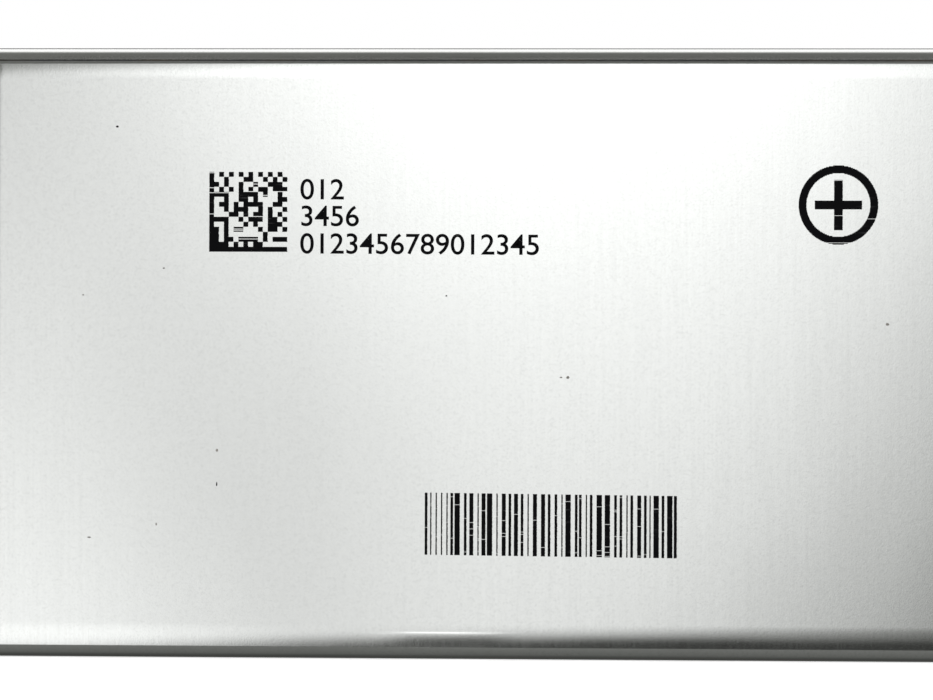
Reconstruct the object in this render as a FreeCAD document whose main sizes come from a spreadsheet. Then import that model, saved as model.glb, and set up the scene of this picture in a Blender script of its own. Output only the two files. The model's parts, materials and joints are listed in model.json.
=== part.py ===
"""Prismatic lithium-ion cell of the 148 x 26.5 x 91 mm format, as separate pieces.

Frame, in millimetres: the origin is the middle of the can's underside, +Z is up towards the
terminals, +X points to the positive terminal's end, and -Y is the marked large face.
"""

import FreeCAD, Part
import math
import os
import Sketcher
from FreeCAD import Placement, Rotation, Vector

DRIVING_SIZES = {
    # envelope
    "cell_width": (148.0, "along X"),
    "cell_depth": (26.5, "along Y, over both crowned faces"),
    "cell_height": (91.0, "underside to the lid's rim"),
    "fit_gap": (0.05, "clearance of a located piece, each side"),
    "loose_gap": (0.1, "clearance of a loose piece, each side"),
    # can
    "crown": (0.35, "how far each large face stands proud of its rim"),
    "crown_slope": (1.9, "width of the sloping border of the crown"),
    "crown_side": (3.3, "can's end to the foot of the slope"),
    "crown_low": (2.3, "underside to the foot of the slope"),
    "crown_high": (0.5, "lid seam to the foot of the slope"),
    "crown_corner": (4.5, "corners of the foot of the slope"),
    "crown_round": (6.0, "rounding at the crest of the slope"),
    "corner_radius": (3.0, "vertical edges"),
    "bottom_radius": (2.0, "edges of the underside"),
    "can_wall": (0.8, "wall"),
    "can_floor": (1.2, "floor"),
    # lid
    "lid_thickness": (2.0, "plate"),
    "lid_rim_height": (2.0, "rim above the seam"),
    "lid_edge_radius": (1.7, "rolled top edge"),
    "lid_sink": (3.3, "rim down to the plate's top"),
    "lid_wall": (1.5, "wall between rim and plate"),
    "lid_mouth_radius": (0.4, "inner edge of the rim"),
    "lid_foot_radius": (0.45, "inner edge where the wall meets the plate"),
    "seat_depth": (0.4, "recess that locates each terminal frame"),
    "stamp_offset": (34.0, "polarity stamps from the middle"),
    "stamp_length": (4.0, "polarity stamp"),
    "stamp_stroke": (0.9, "polarity stamp"),
    "stamp_depth": (0.2, "polarity stamp"),
    # safety vent
    "vent_length": (16.0, "opening through the lid"),
    "vent_width": (8.6, "opening through the lid"),
    "vent_ledge": (1.5, "ledge that the vent disc sits on"),
    "vent_seat_depth": (0.9, "lid top down to the ledge"),
    "vent_thickness": (0.5, "rim of the vent disc"),
    "vent_web": (0.25, "thinned middle of the vent disc"),
    "vent_rim": (1.0, "opening's edge to the thinned middle"),
    "vent_score_inset": (1.0, "thinned middle's edge to the score groove"),
    "vent_score_end": (2.5, "thinned middle's edge to the end of the middle groove"),
    "vent_score_width": (0.35, "score groove"),
    "vent_score_depth": (0.12, "score groove"),
    "film_margin": (1.8, "vent film beyond the vent's seat"),
    "film_thickness": (0.12, "vent film"),
    # filling port
    "fill_offset": (24.0, "towards the negative terminal"),
    "fill_hole": (2.6, "diameter"),
    "fill_seat": (7.2, "diameter"),
    "fill_seat_depth": (0.8, "lid top down to the seat"),
    "plug_head": (4.2, "diameter"),
    "plug_head_height": (0.3, "height"),
    # terminals
    "terminal_rise": (3.0, "terminal face above the plate"),
    "terminal_offset": (53.5, "terminal axis from the middle"),
    "pad_length": (22.0, "terminal plate along X"),
    "pad_width": (15.0, "terminal plate along Y"),
    "pad_thickness": (2.6, "terminal plate"),
    "pad_corner": (2.0, "terminal plate corners"),
    "pad_bevel": (0.4, "terminal plate top edge"),
    "frame_length": (28.0, "terminal frame along X"),
    "frame_width": (20.0, "terminal frame along Y"),
    "frame_corner": (2.5, "terminal frame corners"),
    "frame_rise": (1.9, "terminal frame above the plate"),
    "shank": (7.0, "rivet diameter"),
    "rivet_head": (9.4, "rivet head diameter"),
    "rivet_head_height": (0.7, "rivet head"),
    "rivet_flange": (13.0, "rivet flange diameter"),
    "rivet_flange_height": (1.2, "rivet flange"),
    "spigot": (5.0, "rivet's lower spigot diameter"),
    "running_gap": (0.03, "radial clearance on the rivet"),
    "gasket_sleeve": (10.2, "gasket sleeve outside diameter"),
    "gasket_flange_height": (1.0, "gasket flange"),
    # under the lid
    "inner_corner": (1.0, "corners of the plates under the lid"),
    "inner_length": (44.0, "inner insulator along X"),
    "inner_width": (20.6, "inner insulator along Y"),
    "inner_thickness": (2.2, "inner insulator"),
    "inner_skirt": (2.6, "skirt along each long edge of the inner insulator"),
    "inner_skirt_wall": (0.9, "skirt wall"),
    "inner_middle": (48.0, "inner insulator's middle, from the cell's middle"),
    "guard_length": (51.0, "vent guard along X"),
    "guard_thickness": (1.2, "vent guard"),
    "guard_slot": (2.4, "vent guard slot width"),
    "guard_border": (3.0, "vent guard edge to the ends of its slots"),
    "guard_pitch": (5.0, "vent guard slot pitch"),
    "guard_slots": (9.0, "vent guard slot count"),
    # current collectors
    "collector_plate": (1.5, "collector plate thickness"),
    "collector_width": (18.0, "collector plate along Y"),
    "collector_corner": (1.5, "collector plate corners"),
    "collector_inboard": (9.0, "collector plate, rivet axis to its inboard end"),
    "collector_outboard": (17.0, "collector plate, rivet axis to its outboard end"),
    "leg_width": (6.0, "collector leg along X"),
    "leg_thickness": (1.2, "collector leg along Y"),
    "leg_drop": (62.0, "collector leg below the plate"),
    "fuse_slot": (10.0, "fuse window along Y"),
    "fuse_width": (2.2, "fuse window along X"),
    "clip_height": (42.0, "weld clip"),
    "clip_thickness": (0.5, "weld clip"),
    "clip_inset": (0.2, "leg's edge to the weld clip's edge"),
    # wound electrodes
    "roll_height": (78.7, "each jelly roll"),
    "roll_bottom": (2.7, "underside of the cell to the rolls"),
    "roll_offset": (5.81, "each roll's middle plane from the cell's"),
    "winding_core": (0.1, "half gap at the first turn"),
    "winding_pitch": (0.8, "per turn"),
    "winding_half_turns": (12.0, "electrode sheets, count"),
    "wrap_half_turns": (14.0, "the separator that wraps the outside, count"),
    "electrode_thickness": (0.27, "coated sheet"),
    "separator_thickness": (0.09, "sheet"),
    "winding_gap": (0.02, "between neighbouring sheets"),
    "coated_reach": (60.0, "middle to the end of the shorter coating"),
    "anode_margin": (0.8, "anode coating beyond the cathode's"),
    "separator_reach": (61.5, "middle to the separator's edge"),
    "foil_start": (61.9, "middle to where the bare foil gathers"),
    "foil_gathered": (64.4, "middle to where the foil is pressed flat"),
    "foil_end": (70.4, "middle to the foil's edge"),
    "foil_low_inset": (0.6, "roll's top and bottom to the gathered foil"),
    "foil_side_inset": (0.7, "cell's middle plane to the gathered foil"),
    "foil_stack": (2.7, "pressed foil stack thickness"),
    "foil_stack_height": (62.0, "pressed foil stack height"),
    "tape_length": (104.0, "end tape"),
    "tape_width": (14.0, "end tape"),
    "tape_thickness": (0.1, "end tape"),
    # insulation inside the can
    "bag_gap": (0.1, "insulating bag to the can's wall"),
    "bag_film": (0.2, "insulating bag film"),
    "bag_top": (81.6, "underside of the cell to the bag's edge"),
    "support_thickness": (1.0, "bottom support plate"),
    "support_gap": (1.0, "bottom support plate to the bag, each side"),
    "support_corner": (1.5, "bottom support plate corners"),
    "support_slots": (9.0, "count"),
    "support_pitch": (14.0, "slot pitch"),
    "support_slot_length": (16.0, "slot along Y"),
    "support_slot_width": (5.0, "slot along X"),
    "support_slot_corner": (2.0, "slot corners"),
    "retainer_plate": (0.8, "end retainer plate"),
    "retainer_width": (19.6, "end retainer along Y"),
    "retainer_height": (77.7, "end retainer"),
    "retainer_corner": (2.0, "end retainer corners"),
    "retainer_rib": (0.6, "end retainer ribs towards the foils"),
    "retainer_rib_width": (1.0, "end retainer ribs"),
    "retainer_rib_margin": (3.0, "end of the plate to the end of its ribs"),
}

HALF_TURN = Rotation(Vector(0, 0, 1), 180)
UPSIDE_DOWN = Rotation(Vector(1, 0, 0), 180)
UP = Vector(0, 0, 1)
MIRRORED_SIDES = (("positive", 1), ("negative", -1))
ROLLS = (("front", -1), ("rear", 1))

doc = FreeCAD.newDocument("prismatic_cell")


# ---------------------------------------------------------------- sizes


class Size:
    """A length that knows both its number and its spreadsheet formula."""

    def __init__(self, number, formula):
        self.number = number
        self.formula = formula

    def joined(self, other, sign, number):
        return Size(number, f"({self.formula} {sign} {other.formula})")

    def __add__(self, other):
        other = as_size(other)
        return self.joined(other, "+", self.number + other.number)

    def __sub__(self, other):
        other = as_size(other)
        return self.joined(other, "-", self.number - other.number)

    def __mul__(self, other):
        other = as_size(other)
        return self.joined(other, "*", self.number * other.number)

    def __truediv__(self, other):
        other = as_size(other)
        return self.joined(other, "/", self.number / other.number)

    def __neg__(self):
        return Size(-self.number, f"(0 - {self.formula})")


def as_size(value):
    return value if isinstance(value, Size) else Size(float(value), repr(float(value)))


class Sizes:
    """The driving dimensions, each a cell of the spreadsheet and an attribute here."""

    def __init__(self):
        sheet = doc.addObject("Spreadsheet::Sheet", "Sizes")
        for row, (name, (number, note)) in enumerate(DRIVING_SIZES.items(), start=1):
            sheet.set(f"A{row}", name)
            sheet.set(f"B{row}", str(number))
            sheet.set(f"C{row}", note)
            sheet.setAlias(f"B{row}", name)
            setattr(self, name, Size(number, f"Sizes.{name}"))
        doc.recompute()


S = Sizes()

rim_depth = S.cell_depth - S.crown - S.crown
can_height = S.cell_height - S.lid_rim_height
lid_top = S.cell_height - S.lid_sink
lid_base = lid_top - S.lid_thickness
cavity_width = S.cell_width - S.can_wall - S.can_wall
cavity_depth = rim_depth - S.can_wall - S.can_wall
cavity_corner = S.corner_radius - S.can_wall
pad_base = lid_top + S.terminal_rise - S.pad_thickness
frame_base = lid_top - S.seat_depth
gasket_bottom = lid_base - S.gasket_flange_height
collector_top = lid_base - S.inner_thickness
collector_base = collector_top - S.collector_plate
gasket_bore = S.shank + S.running_gap + S.running_gap
gasket_hole = S.gasket_sleeve + S.fit_gap + S.fit_gap
flange_bore = S.rivet_flange + S.loose_gap + S.loose_gap
vent_seat_length = S.vent_length + S.vent_ledge + S.vent_ledge
vent_seat_width = S.vent_width + S.vent_ledge + S.vent_ledge
bag_width = cavity_width - S.bag_gap - S.bag_gap
bag_depth = cavity_depth - S.bag_gap - S.bag_gap
bag_base = S.can_floor + S.bag_gap
roll_middle = S.roll_bottom + S.roll_height / 2
roll_half_depth = S.winding_core + S.winding_pitch * S.wrap_half_turns / 2 + S.separator_thickness


# ---------------------------------------------------------------- modelling helpers


def bind(thing, name, length):
    """Gives a property its number and ties it to the spreadsheet."""
    thing.setExpression(name, as_size(length).formula)


def new_body(label):
    body = doc.addObject("PartDesign::Body", label)
    body.Label = label
    return body


def place(piece, x=0, y=0, z=0, rotation=None):
    """Moves a piece to its place, with each coordinate tied to the spreadsheet."""
    if rotation is not None:
        piece.Placement = Placement(Vector(), rotation)
    for axis, value in (("x", x), ("y", y), ("z", z)):
        bind(piece, f"Placement.Base.{axis}", value)


def sketch_on(body, plane, offset=0):
    """An empty sketch on one of the body's own planes, offset along that plane's normal."""
    sketch = body.newObject("Sketcher::SketchObject", f"{body.Name}_sketch")
    support = next(f for f in body.Origin.OriginFeatures if f.Role == plane)
    sketch.AttachmentSupport = [(support, "")]
    sketch.MapMode = "FlatFace"
    bind(sketch, "AttachmentOffset.Base.z", offset)
    return sketch


def dimension(sketch, kind, *where, length):
    length = as_size(length)
    index = sketch.addConstraint(Sketcher.Constraint(kind, *where, length.number))
    sketch.setExpression(f"Constraints[{index}]", length.formula)


def locate(sketch, geometry, point, x, y):
    """Ties a point of the sketch to x, y from the sketch's origin."""
    for kind, axis, value in (("DistanceX", -2, x), ("DistanceY", -1, y)):
        if as_size(value).number == 0:
            sketch.addConstraint(Sketcher.Constraint("PointOnObject", geometry, point, axis))
        else:
            dimension(sketch, kind, -1, 1, geometry, point, length=value)


def circle(sketch, diameter, x=0, y=0):
    diameter, x, y = as_size(diameter), as_size(x), as_size(y)
    middle = Vector(x.number, y.number, 0)
    index = sketch.addGeometry(Part.Circle(middle, UP, diameter.number / 2), False)
    dimension(sketch, "Diameter", index, length=diameter)
    locate(sketch, index, 3, x, y)


def arc(centre_x, centre_y, radius, start_deg):
    """A quarter of a circle, anticlockwise from start_deg."""
    round_edge = Part.Circle(Vector(centre_x, centre_y, 0), UP, radius)
    start = math.radians(start_deg)
    return Part.ArcOfCircle(round_edge, start, start + math.pi / 2)


def rounded_rectangle(sketch, width, height, radius, x=0, y=0):
    width, height, radius = as_size(width), as_size(height), as_size(radius)
    x, y = as_size(x), as_size(y)
    left, right = x - width / 2, x + width / 2
    low, high = y - height / 2, y + height / 2
    l, r, b, t, c = (v.number for v in (left, right, low, high, radius))
    sides = [
        ((l + c, b), (r - c, b)),
        ((r, b + c), (r, t - c)),
        ((r - c, t), (l + c, t)),
        ((l, t - c), (l, b + c)),
    ]
    corners = [(r - c, b + c, -90), (r - c, t - c, 0), (l + c, t - c, 90), (l + c, b + c, 180)]
    first = sketch.GeometryCount
    for start, end in sides:
        sketch.addGeometry(Part.LineSegment(Vector(*start, 0), Vector(*end, 0)), False)
    for centre_x, centre_y, start_deg in corners:
        sketch.addGeometry(arc(centre_x, centre_y, c, start_deg), False)
    for i in range(4):
        line, corner, next_line = first + i, first + 4 + i, first + (i + 1) % 4
        sketch.addConstraint(Sketcher.Constraint("Tangent", line, 2, corner, 1))
        sketch.addConstraint(Sketcher.Constraint("Tangent", corner, 2, next_line, 1))
        sketch.addConstraint(Sketcher.Constraint(("Horizontal", "Vertical")[i % 2], line))
        if i:
            sketch.addConstraint(Sketcher.Constraint("Equal", first + 4, corner))
    dimension(sketch, "Radius", first + 4, length=radius)
    dimension(sketch, "DistanceX", -1, 1, first + 3, 1, length=left)
    dimension(sketch, "DistanceX", -1, 1, first + 1, 1, length=right)
    dimension(sketch, "DistanceY", -1, 1, first, 1, length=low)
    dimension(sketch, "DistanceY", -1, 1, first + 2, 1, length=high)


def rectangle(sketch, width, height, x=0, y=0):
    width, height, x, y = as_size(width), as_size(height), as_size(x), as_size(y)
    left, right = x - width / 2, x + width / 2
    low, high = y - height / 2, y + height / 2
    l, r, b, t = (v.number for v in (left, right, low, high))
    corners = [(l, b), (r, b), (r, t), (l, t)]
    first = sketch.GeometryCount
    for i in range(4):
        start, end = corners[i], corners[(i + 1) % 4]
        sketch.addGeometry(Part.LineSegment(Vector(*start, 0), Vector(*end, 0)), False)
    for i in range(4):
        line, next_line = first + i, first + (i + 1) % 4
        sketch.addConstraint(Sketcher.Constraint("Coincident", line, 2, next_line, 1))
        sketch.addConstraint(Sketcher.Constraint(("Horizontal", "Vertical")[i % 2], line))
    dimension(sketch, "DistanceX", -1, 1, first, 1, length=left)
    dimension(sketch, "DistanceX", -1, 1, first, 2, length=right)
    dimension(sketch, "DistanceY", -1, 1, first, 1, length=low)
    dimension(sketch, "DistanceY", -1, 1, first + 2, 1, length=high)


def stadium(sketch, length, width, x=0, y=0):
    """A slot with round ends, long along the sketch's X."""
    length, width, x, y = as_size(length), as_size(width), as_size(x), as_size(y)
    reach, radius = (length - width) / 2, width / 2
    left, right = x - reach, x + reach
    l, r, m, c = left.number, right.number, y.number, radius.number
    first = sketch.GeometryCount
    sketch.addGeometry(Part.LineSegment(Vector(l, m - c, 0), Vector(r, m - c, 0)), False)
    sketch.addGeometry(Part.LineSegment(Vector(r, m + c, 0), Vector(l, m + c, 0)), False)
    right_end = Part.Circle(Vector(r, m, 0), UP, c)
    left_end = Part.Circle(Vector(l, m, 0), UP, c)
    quarter = math.pi / 2
    sketch.addGeometry(Part.ArcOfCircle(right_end, -quarter, quarter), False)
    sketch.addGeometry(Part.ArcOfCircle(left_end, quarter, 3 * quarter), False)
    for line, end, next_line in ((first, first + 2, first + 1), (first + 1, first + 3, first)):
        sketch.addConstraint(Sketcher.Constraint("Tangent", line, 2, end, 1))
        sketch.addConstraint(Sketcher.Constraint("Tangent", end, 2, next_line, 1))
    dimension(sketch, "Radius", first + 2, length=radius)
    locate(sketch, first + 2, 3, right, y)
    locate(sketch, first + 3, 3, left, y)


def feature(body, kind, sketch, length, reverse=False, taper=0):
    """A pad or pocket of the sketch. The volume has to change, or the feature did nothing."""
    before = body.Shape.Volume if body.Tip else 0
    made = body.newObject(f"PartDesign::{kind}", f"{body.Name}_{kind}")
    made.Profile = sketch
    made.Reversed = reverse
    made.TaperAngle = taper
    bind(made, "Length", length)
    doc.recompute()
    if abs(body.Shape.Volume - before) < 1e-3:
        raise SystemExit(f"{made.Name} changes nothing")
    return made


def pad(body, sketch, length, reverse=False, taper=0):
    return feature(body, "Pad", sketch, length, reverse, taper)


def pocket(body, sketch, length, reverse=False, taper=0):
    return feature(body, "Pocket", sketch, length, reverse, taper)


def edges_at(base, axis, *levels):
    """Names of the edges that lie in one of the planes axis = level."""
    names = []
    for number, edge in enumerate(base.Shape.Edges, start=1):
        box = edge.BoundBox
        low, high = getattr(box, axis + "Min"), getattr(box, axis + "Max")
        if any(abs(low - level) < 1e-4 and abs(high - level) < 1e-4 for level in levels):
            names.append(f"Edge{number}")
    return names


def edges_inside(base, level, half_width, half_depth):
    """Names of the edges at one level that lie inside a rectangle about the Z axis."""
    names = []
    for name in edges_at(base, "Z", level.number):
        box = base.Shape.getElement(name).BoundBox
        reach_x, reach_y = max(box.XMax, -box.XMin), max(box.YMax, -box.YMin)
        if reach_x < half_width.number + 1e-4 and reach_y < half_depth.number + 1e-4:
            names.append(name)
    return names


def blend_edges(body, kind, names, amount):
    """A fillet or chamfer on the named edges of the body's tip."""
    base = body.Tip
    made = body.newObject(f"PartDesign::{kind}", f"{body.Name}_{kind}")
    made.Base = (base, names)
    bind(made, "Radius" if kind == "Fillet" else "Size", amount)
    doc.recompute()
    return made


def repeat_along_x(body, source, count, pitch):
    """A linear pattern of one feature along the body's X axis."""
    pattern = body.newObject("PartDesign::LinearPattern", f"{body.Name}_pattern")
    pattern.Originals = [source]
    x_axis = next(f for f in body.Origin.OriginFeatures if f.Role == "X_Axis")
    pattern.Direction = (x_axis, [""])
    pattern.Occurrences = int(count.number)
    bind(pattern, "Length", pitch * (count - 1))
    body.Tip = pattern
    doc.recompute()
    return pattern


# ---------------------------------------------------------------- can and lid


def make_can():
    """Deep-drawn aluminium can, open at the top, with a shallow crown on each large face."""
    can = new_body("can")
    outline = sketch_on(can, "XY_Plane")
    rounded_rectangle(outline, S.cell_width, rim_depth, S.corner_radius)
    wall = pad(can, outline, can_height)
    blend_edges(can, "Fillet", edges_at(wall, "Z", 0), S.bottom_radius)
    crown_both_faces(can, "Pad", rim_depth / 2)
    mouth = sketch_on(can, "XY_Plane", can_height)
    rounded_rectangle(mouth, cavity_width, cavity_depth, cavity_corner)
    hollow = pocket(can, mouth, can_height - S.can_floor)
    floor_edges = edges_at(hollow, "Z", S.can_floor.number)
    blend_edges(can, "Fillet", floor_edges, S.bottom_radius - S.can_wall)
    crown_both_faces(can, "Pocket", cavity_depth / 2)
    return can


def crown_both_faces(can, kind, distance):
    """The crown as a tapered pad on the outside, or a tapered pocket into the wall."""
    taper = -math.degrees(math.atan(S.crown_slope.number / S.crown.number))
    inset = S.can_wall if kind == "Pocket" else as_size(0)
    low, high = S.crown_low + inset, can_height - S.crown_high - inset
    side = S.crown_side + inset
    for offset, front in ((distance, True), (-distance, False)):
        sketch = sketch_on(can, "XZ_Plane", offset)
        width = S.cell_width - side - side
        rounded_rectangle(sketch, width, high - low, S.crown_corner - inset, y=(low + high) / 2)
        inverted = front if kind == "Pocket" else not front
        panel = feature(can, kind, sketch, S.crown, reverse=inverted, taper=taper)
        if kind == "Pad":
            crest = (distance + S.crown).number * (-1 if front else 1)
            blend_edges(can, "Fillet", edges_at(panel, "Y", crest), S.crown_round)


def make_lid():
    """Stamped lid, a tray: a rolled rim welded to the can, and a sunk plate with every opening."""
    lid = new_body("lid_plate")
    gaps = S.fit_gap + S.fit_gap
    tray_width, tray_depth = cavity_width - gaps, cavity_depth - gaps
    tray = sketch_on(lid, "XY_Plane")
    rounded_rectangle(tray, tray_width, tray_depth, cavity_corner)
    pad(lid, tray, can_height - lid_base)
    outline = sketch_on(lid, "XY_Plane", can_height - lid_base)
    rounded_rectangle(outline, S.cell_width, rim_depth, S.corner_radius)
    rim = pad(lid, outline, S.lid_rim_height)
    rim_top = S.cell_height - lid_base
    blend_edges(lid, "Fillet", edges_at(rim, "Z", rim_top.number), S.lid_edge_radius)

    mouth_width = tray_width - S.lid_wall - S.lid_wall
    mouth_depth = tray_depth - S.lid_wall - S.lid_wall
    mouth = sketch_on(lid, "XY_Plane", rim_top)
    rounded_rectangle(mouth, mouth_width, mouth_depth, cavity_corner - S.lid_wall)
    sunk = pocket(lid, mouth, S.lid_sink)
    foot = edges_at(sunk, "Z", S.lid_thickness.number)
    rounded = blend_edges(lid, "Fillet", foot, S.lid_foot_radius)
    lip = edges_inside(rounded, rim_top, mouth_width / 2, mouth_depth / 2)
    blend_edges(lid, "Fillet", lip, S.lid_mouth_radius)

    openings = sketch_on(lid, "XY_Plane", S.lid_thickness)
    for _, side in MIRRORED_SIDES:
        circle(openings, gasket_hole, x=S.terminal_offset * side)
    circle(openings, S.fill_hole, x=-S.fill_offset)
    stadium(openings, S.vent_length, S.vent_width)
    pocket(lid, openings, S.lid_thickness)

    frame_seats = sketch_on(lid, "XY_Plane", S.lid_thickness)
    for _, side in MIRRORED_SIDES:
        rounded_rectangle(
            frame_seats,
            S.frame_length + gaps,
            S.frame_width + gaps,
            S.frame_corner + S.fit_gap,
            x=S.terminal_offset * side,
        )
    pocket(lid, frame_seats, S.seat_depth)

    vent_seat = sketch_on(lid, "XY_Plane", S.lid_thickness)
    stadium(vent_seat, vent_seat_length, vent_seat_width)
    pocket(lid, vent_seat, S.vent_seat_depth)

    fill_seat = sketch_on(lid, "XY_Plane", S.lid_thickness)
    circle(fill_seat, S.fill_seat, x=-S.fill_offset)
    pocket(lid, fill_seat, S.fill_seat_depth)

    polarity = sketch_on(lid, "XY_Plane", S.lid_thickness)
    rectangle(polarity, S.stamp_length, S.stamp_stroke, x=-S.stamp_offset)
    rectangle(polarity, S.stamp_length, S.stamp_stroke, x=S.stamp_offset)
    pocket(lid, polarity, S.stamp_depth)
    upright = sketch_on(lid, "XY_Plane", S.lid_thickness)
    rectangle(upright, S.stamp_stroke, S.stamp_length, x=S.stamp_offset)
    pocket(lid, upright, S.stamp_depth)
    place(lid, z=lid_base)
    return lid


# ---------------------------------------------------------------- vent and filling port


def make_vent_disc():
    """Burst disc: a thin oval plate with a thinned web and a score line round it."""
    disc = new_body("vent_disc")
    gaps = S.fit_gap + S.fit_gap
    outline = sketch_on(disc, "XY_Plane")
    stadium(outline, vent_seat_length - gaps, vent_seat_width - gaps)
    pad(disc, outline, S.vent_thickness)
    rims = S.vent_rim + S.vent_rim
    web_length, web_width = S.vent_length - rims, S.vent_width - rims
    web = sketch_on(disc, "XY_Plane", S.vent_thickness)
    stadium(web, web_length, web_width)
    pocket(disc, web, S.vent_thickness - S.vent_web)
    score = sketch_on(disc, "XY_Plane", S.vent_web)
    insets = S.vent_score_inset + S.vent_score_inset
    grooves = insets + S.vent_score_width + S.vent_score_width
    stadium(score, web_length - insets, web_width - insets)
    stadium(score, web_length - grooves, web_width - grooves)
    pocket(disc, score, S.vent_score_depth)
    middle = sketch_on(disc, "XY_Plane", S.vent_web)
    ends = S.vent_score_end + S.vent_score_end
    rectangle(middle, web_length - ends, S.vent_score_width)
    pocket(disc, middle, S.vent_score_depth)
    place(disc, z=lid_top - S.vent_seat_depth)
    return disc


def make_vent_film():
    """Thin film stuck over the vent to keep dirt and electrolyte off the burst disc."""
    film = new_body("vent_film")
    outline = sketch_on(film, "XY_Plane")
    margin = S.film_margin + S.film_margin
    stadium(outline, vent_seat_length + margin, vent_seat_width + margin)
    pad(film, outline, S.film_thickness)
    place(film, z=lid_top)
    return film


def make_fill_plug():
    """Plug pressed into the filling hole: a stem with a flat head."""
    plug = new_body("fill_plug")
    head = sketch_on(plug, "XY_Plane")
    circle(head, S.plug_head)
    pad(plug, head, S.plug_head_height)
    stem = sketch_on(plug, "XY_Plane")
    circle(stem, S.fill_hole - S.running_gap - S.running_gap)
    pad(plug, stem, S.lid_thickness - S.fill_seat_depth, reverse=True)
    place(plug, x=-S.fill_offset, z=lid_top - S.fill_seat_depth)
    return plug


def make_fill_cap():
    """Sealing cap welded flush over the plug, hollow underneath for the plug's head."""
    cap = new_body("fill_cap")
    outline = sketch_on(cap, "XY_Plane")
    circle(outline, S.fill_seat - S.fit_gap - S.fit_gap)
    pad(cap, outline, S.fill_seat_depth)
    hollow = sketch_on(cap, "XY_Plane")
    circle(hollow, S.plug_head + S.loose_gap + S.loose_gap)
    pocket(cap, hollow, S.plug_head_height + S.fit_gap, reverse=True)
    place(cap, x=-S.fill_offset, z=lid_top - S.fill_seat_depth)
    return cap


# ---------------------------------------------------------------- terminals


def make_terminal(name, side):
    """Terminal plate that the busbar is welded to, with a counterbore for the rivet's head."""
    plate = new_body(f"{name}_terminal")
    outline = sketch_on(plate, "XY_Plane")
    rounded_rectangle(outline, S.pad_length, S.pad_width, S.pad_corner)
    block = pad(plate, outline, S.pad_thickness)
    blend_edges(plate, "Chamfer", edges_at(block, "Z", S.pad_thickness.number), S.pad_bevel)
    bore = sketch_on(plate, "XY_Plane", S.pad_thickness)
    circle(bore, gasket_bore)
    pocket(plate, bore, S.pad_thickness)
    counterbore = sketch_on(plate, "XY_Plane", S.pad_thickness)
    circle(counterbore, S.rivet_head + S.loose_gap + S.loose_gap)
    pocket(plate, counterbore, S.rivet_head_height + S.loose_gap)
    place(plate, x=S.terminal_offset * side, z=pad_base)
    return plate


def make_terminal_frame(name, side):
    """Outer insulator: a tray that holds the terminal plate clear of the lid."""
    frame = new_body(f"{name}_terminal_frame")
    height = S.seat_depth + S.frame_rise
    outline = sketch_on(frame, "XY_Plane")
    rounded_rectangle(outline, S.frame_length, S.frame_width, S.frame_corner)
    tray = pad(frame, outline, height)
    blend_edges(frame, "Chamfer", edges_at(tray, "Z", height.number), S.pad_bevel)
    gaps = S.fit_gap + S.fit_gap
    recess = sketch_on(frame, "XY_Plane", height)
    rounded_rectangle(
        recess, S.pad_length + gaps, S.pad_width + gaps, S.pad_corner + S.fit_gap
    )
    pocket(frame, recess, height - (pad_base - frame_base))
    bore = sketch_on(frame, "XY_Plane", height)
    circle(bore, gasket_hole)
    pocket(frame, bore, height)
    place(frame, x=S.terminal_offset * side, z=frame_base)
    return frame


def make_rivet(name, side):
    """Terminal rivet: flange, shank and swaged head, with a spigot for the collector."""
    rivet = new_body(f"{name}_rivet")
    flange = sketch_on(rivet, "XY_Plane")
    circle(flange, S.rivet_flange)
    pad(rivet, flange, S.rivet_flange_height)
    spigot = sketch_on(rivet, "XY_Plane")
    circle(spigot, S.spigot)
    pad(rivet, spigot, S.collector_plate, reverse=True)
    head_base = pad_base + S.pad_thickness - S.rivet_head_height - S.loose_gap - collector_top
    shank = sketch_on(rivet, "XY_Plane", S.rivet_flange_height)
    circle(shank, S.shank)
    pad(rivet, shank, head_base - S.rivet_flange_height)
    head = sketch_on(rivet, "XY_Plane", head_base)
    circle(head, S.rivet_head)
    pad(rivet, head, S.rivet_head_height)
    top_edge = edges_at(rivet.Tip, "Z", (head_base + S.rivet_head_height).number)
    blend_edges(rivet, "Chamfer", top_edge, S.rivet_head_height / 4)
    place(rivet, x=S.terminal_offset * side, z=collector_top)
    return rivet


def make_gasket(name, side):
    """Sealing ring: a flange against the lid and a sleeve up round the rivet's shank."""
    gasket = new_body(f"{name}_gasket")
    flange = sketch_on(gasket, "XY_Plane")
    circle(flange, S.rivet_flange)
    circle(flange, gasket_bore)
    pad(gasket, flange, S.gasket_flange_height)
    sleeve = sketch_on(gasket, "XY_Plane", S.gasket_flange_height)
    circle(sleeve, S.gasket_sleeve)
    circle(sleeve, gasket_bore)
    pad(gasket, sleeve, pad_base - lid_base)
    place(gasket, x=S.terminal_offset * side, z=gasket_bottom)
    return gasket


def make_inner_insulator(name, side):
    """Plastic plate under the lid, with a skirt each side that keeps the collector central."""
    plate = new_body(f"{name}_inner_insulator")
    outline = sketch_on(plate, "XY_Plane")
    rounded_rectangle(outline, S.inner_length, S.inner_width, S.inner_corner)
    pad(plate, outline, S.inner_thickness)
    skirts = sketch_on(plate, "XY_Plane")
    middle = (S.inner_width - S.inner_skirt_wall) / 2
    for sign in (1, -1):
        length = S.inner_length - S.inner_corner - S.inner_corner
        rectangle(skirts, length, S.inner_skirt_wall, y=middle * sign)
    pad(plate, skirts, S.inner_skirt, reverse=True)
    bore = sketch_on(plate, "XY_Plane", S.inner_thickness)
    circle(bore, flange_bore, x=(S.terminal_offset - S.inner_middle) * side)
    pocket(plate, bore, S.inner_thickness)
    place(plate, x=S.inner_middle * side, z=collector_top)
    return plate


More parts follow.
